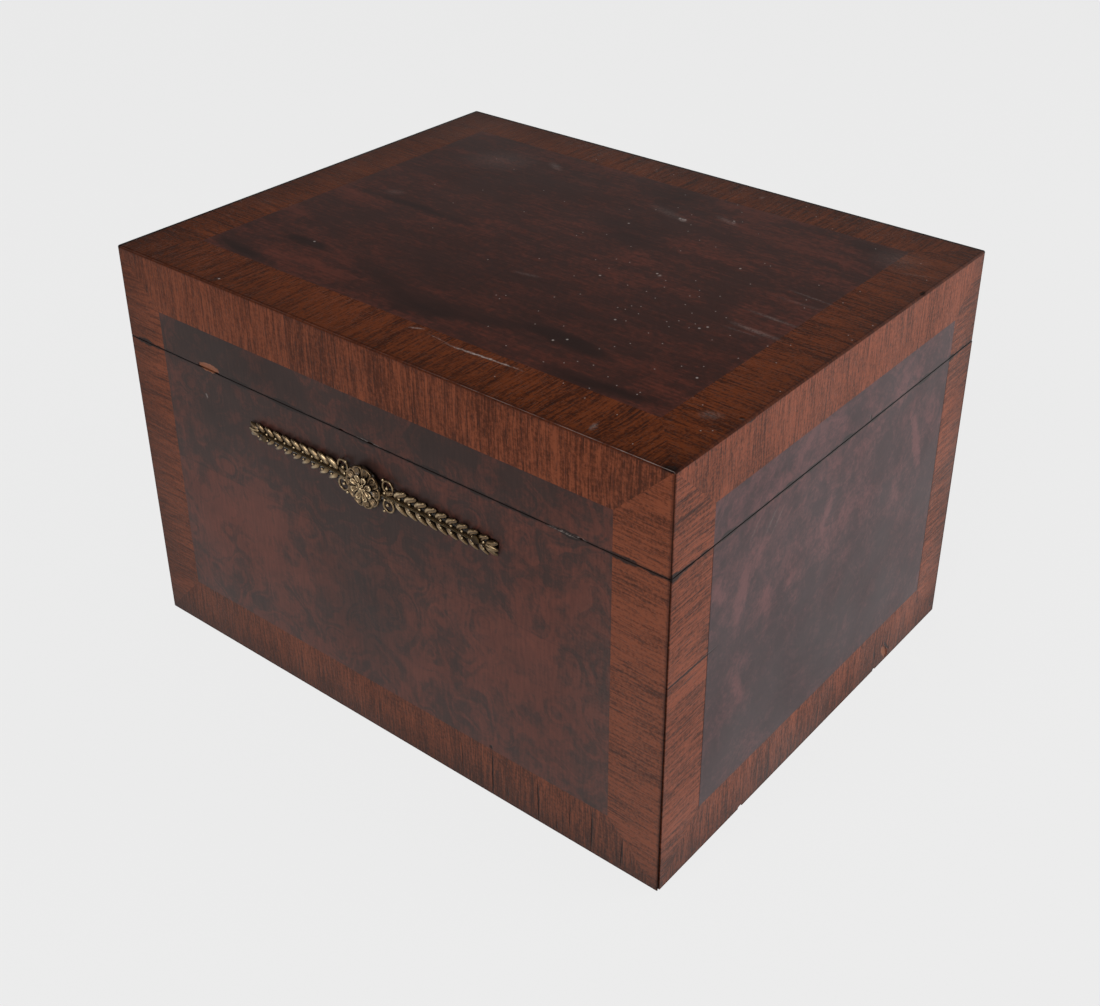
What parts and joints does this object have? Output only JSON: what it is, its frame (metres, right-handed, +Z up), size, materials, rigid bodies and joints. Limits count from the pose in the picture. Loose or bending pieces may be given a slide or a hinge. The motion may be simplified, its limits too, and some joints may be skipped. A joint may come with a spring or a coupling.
{
  "type": "wooden puzzle box",
  "caption": "Veneered wooden box with a back-hinged lid and a leaf mount on its front that slides sideways to work a hidden bolt.",
  "frame": {"origin": "middle of the box's footprint, on the surface that it stands on", "axes": "+Z up, -Y out of the front that carries the mount, +X to the right seen from the front"},
  "size_m": [0.305, 0.2505, 0.2],
  "materials": {
    "carcase_wood": "planed softwood, darkened with age",
    "lining_wood": "waxed mahogany lining",
    "burl_veneer": "quarter-matched burl, worn shellac polish",
    "crossband_veneer": "crossbanded mahogany, worn shellac polish",
    "hardware_brass": "drawn brass, dulled",
    "mount_brass": "cast brass, dark patina in the hollows",
    "spring_steel": "blued spring strip, worn"
  },
  "bodies": {
    "base": {"base_front_wall": "carcase_wood", "base_right_wall": "carcase_wood", "base_back_wall": "carcase_wood", "base_left_wall": "carcase_wood", "bottom_board": "carcase_wood", "bottom_screws": "hardware_brass", "front_lining": "lining_wood", "right_lining": "lining_wood", "back_lining": "lining_wood", "left_lining": "lining_wood", "base_front_burl": "burl_veneer", "base_right_burl": "burl_veneer", "base_back_burl": "burl_veneer", "base_left_burl": "burl_veneer", "base_front_crossband": "crossband_veneer", "base_right_crossband": "crossband_veneer", "base_back_crossband": "crossband_veneer", "base_left_crossband": "crossband_veneer", "left_hinge_base_leaf": "hardware_brass", "right_hinge_base_leaf": "hardware_brass", "left_hinge_pin": "hardware_brass", "right_hinge_pin": "hardware_brass", "hinge_screws_base": "hardware_brass", "slot_plates": "hardware_brass", "slot_plate_screws": "hardware_brass", "bow_spring": "spring_steel", "selvedge_plate": "hardware_brass", "selvedge_screws": "hardware_brass"},
    "lid": {"lid_top_board": "carcase_wood", "lid_front_wall": "carcase_wood", "lid_right_wall": "carcase_wood", "lid_back_wall": "carcase_wood", "lid_left_wall": "carcase_wood", "lid_front_burl": "burl_veneer", "lid_right_burl": "burl_veneer", "lid_back_burl": "burl_veneer", "lid_left_burl": "burl_veneer", "lid_top_burl": "burl_veneer", "lid_front_crossband": "crossband_veneer", "lid_right_crossband": "crossband_veneer", "lid_back_crossband": "crossband_veneer", "lid_left_crossband": "crossband_veneer", "lid_top_crossband": "crossband_veneer", "left_hinge_lid_leaf": "hardware_brass", "right_hinge_lid_leaf": "hardware_brass", "hinge_screws_lid": "hardware_brass", "link_plate": "hardware_brass", "link_plate_screws": "hardware_brass"},
    "mount": {"front_mount": "mount_brass", "rosette": "mount_brass", "mount_studs": "mount_brass", "stud_nuts": "hardware_brass", "bolt_bar": "hardware_brass"}
  },
  "joints": [
    {"name": "lid_hinge", "type": "hinge", "parent": "base", "child": "lid", "pos_m": [0, 0.1216, 0.155], "axis": [-1, 0, 0], "range_deg": [0, 100]},
    {"name": "mount_slide", "type": "slide", "parent": "base", "child": "mount", "axis": [1, 0, 0], "range_m": [0, 0.008]}
  ]
}
